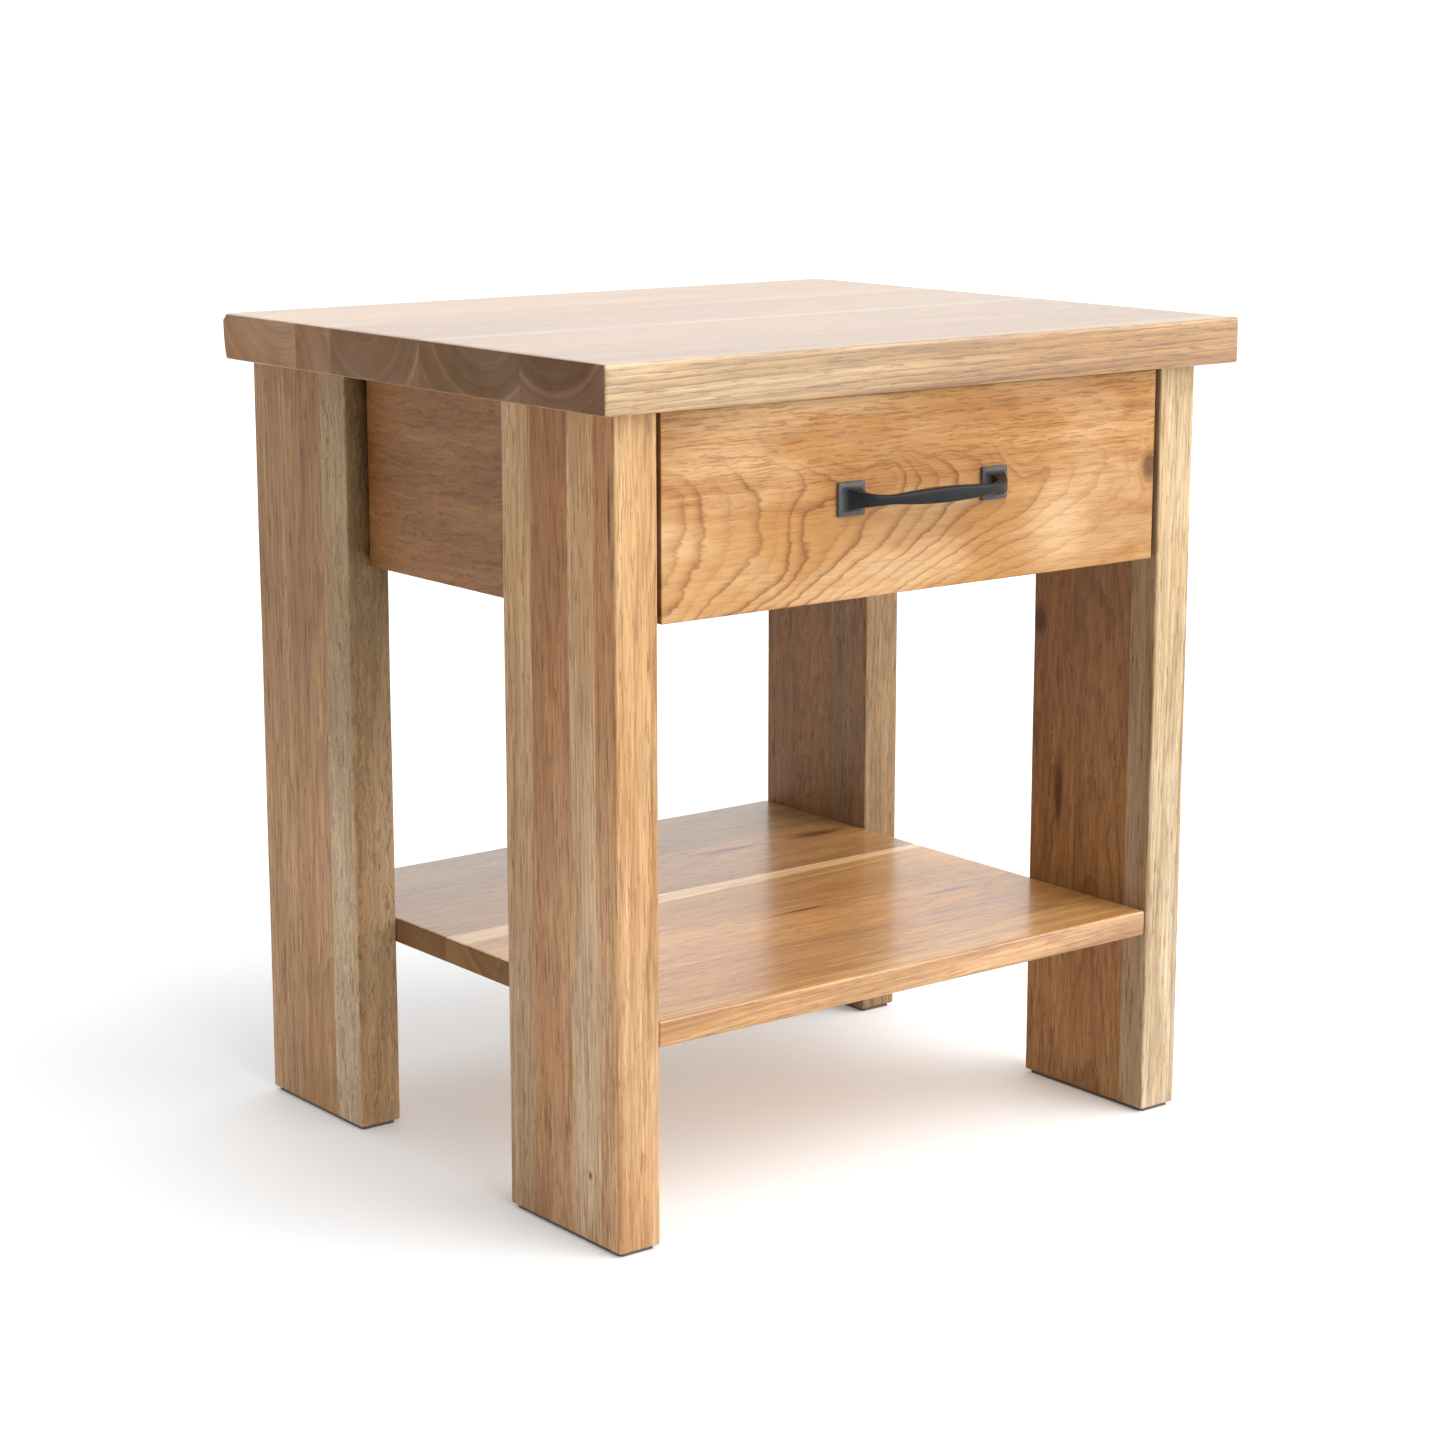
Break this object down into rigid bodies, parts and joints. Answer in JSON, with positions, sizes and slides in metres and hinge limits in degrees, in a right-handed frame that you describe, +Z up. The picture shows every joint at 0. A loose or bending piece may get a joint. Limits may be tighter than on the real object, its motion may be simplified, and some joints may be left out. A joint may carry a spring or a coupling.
{
  "type": "side table",
  "caption": "Solid wood side table with an inset drawer on ball bearing slides, a black pull and a lower shelf.",
  "frame": {"origin": "on the floor, at the middle of the table's plan, pull included", "axes": "+Z up, -Y towards someone facing the drawer, +X to their right"},
  "size_m": [0.56, 0.4794, 0.592],
  "materials": {
    "oak_top": "satin lacquer, edge-glued oak staves running side to side",
    "oak_leg": "satin lacquer, glued up from three oak staves",
    "oak_apron": "satin lacquer, reddish brown oak",
    "oak_shelf": "satin lacquer, edge-glued oak staves running side to side",
    "oak_drawer_front": "satin lacquer, honey-coloured figured oak",
    "drawer_box_wood": "clear sealed maple",
    "drawer_plywood": "clear sealed plywood",
    "dowel_wood": "plain beech",
    "felt": "dark brown pressed felt",
    "black_metal": "satin black cast metal",
    "zinc_steel": "zinc-plated steel",
    "ball_steel": "polished steel"
  },
  "bodies": {
    "table": {"tabletop": "oak_top", "front_left_leg": "oak_leg", "front_right_leg": "oak_leg", "rear_left_leg": "oak_leg", "rear_right_leg": "oak_leg", "left_apron": "oak_apron", "right_apron": "oak_apron", "rear_apron": "oak_apron", "front_top_rail": "oak_apron", "lower_shelf": "oak_shelf", "shelf_dowels": "dowel_wood", "front_left_pad": "felt", "front_right_pad": "felt", "rear_left_pad": "felt", "rear_right_pad": "felt", "tabletop_clips": "zinc_steel", "tabletop_clip_screws": "zinc_steel", "top_rail_screws": "zinc_steel", "left_slide_outer": "zinc_steel", "right_slide_outer": "zinc_steel", "left_slide_frame_screws": "zinc_steel", "right_slide_frame_screws": "zinc_steel"},
    "drawer": {"drawer_front": "oak_drawer_front", "drawer_box_front": "drawer_box_wood", "drawer_box_back": "drawer_box_wood", "drawer_left_side": "drawer_box_wood", "drawer_right_side": "drawer_box_wood", "drawer_bottom": "drawer_plywood", "drawer_pull": "black_metal", "pull_screws": "zinc_steel", "drawer_front_screws": "zinc_steel", "left_slide_inner": "zinc_steel", "right_slide_inner": "zinc_steel", "left_slide_drawer_screws": "zinc_steel", "right_slide_drawer_screws": "zinc_steel"},
    "left_middle_member": {"left_slide_middle": "zinc_steel"},
    "left_outer_ball_set": {"left_outer_ball_cage": "zinc_steel", "left_outer_balls": "ball_steel"},
    "left_inner_ball_set": {"left_inner_ball_cage": "zinc_steel", "left_inner_balls": "ball_steel"},
    "right_middle_member": {"right_slide_middle": "zinc_steel"},
    "right_outer_ball_set": {"right_outer_ball_cage": "zinc_steel", "right_outer_balls": "ball_steel"},
    "right_inner_ball_set": {"right_inner_ball_cage": "zinc_steel", "right_inner_balls": "ball_steel"}
  },
  "joints": [
    {"name": "drawer_slide", "type": "slide", "parent": "table", "child": "drawer", "axis": [0, -1, 0], "range_m": [0, 0.35]},
    {"name": "left_middle_member_slide", "type": "slide", "parent": "table", "child": "left_middle_member", "axis": [0, -1, 0], "range_m": [0, 0.175]},
    {"name": "left_outer_ball_set_slide", "type": "slide", "parent": "table", "child": "left_outer_ball_set", "axis": [0, -1, 0], "range_m": [0, 0.0875]},
    {"name": "left_inner_ball_set_slide", "type": "slide", "parent": "table", "child": "left_inner_ball_set", "axis": [0, -1, 0], "range_m": [0, 0.2625]},
    {"name": "right_middle_member_slide", "type": "slide", "parent": "table", "child": "right_middle_member", "axis": [0, -1, 0], "range_m": [0, 0.175]},
    {"name": "right_outer_ball_set_slide", "type": "slide", "parent": "table", "child": "right_outer_ball_set", "axis": [0, -1, 0], "range_m": [0, 0.0875]},
    {"name": "right_inner_ball_set_slide", "type": "slide", "parent": "table", "child": "right_inner_ball_set", "axis": [0, -1, 0], "range_m": [0, 0.2625]}
  ],
  "couplings": [
    {"joint": "left_middle_member_slide", "follows": "drawer_slide", "ratio": 0.5},
    {"joint": "left_outer_ball_set_slide", "follows": "drawer_slide", "ratio": 0.25},
    {"joint": "left_inner_ball_set_slide", "follows": "drawer_slide", "ratio": 0.75},
    {"joint": "right_middle_member_slide", "follows": "drawer_slide", "ratio": 0.5},
    {"joint": "right_outer_ball_set_slide", "follows": "drawer_slide", "ratio": 0.25},
    {"joint": "right_inner_ball_set_slide", "follows": "drawer_slide", "ratio": 0.75}
  ]
}
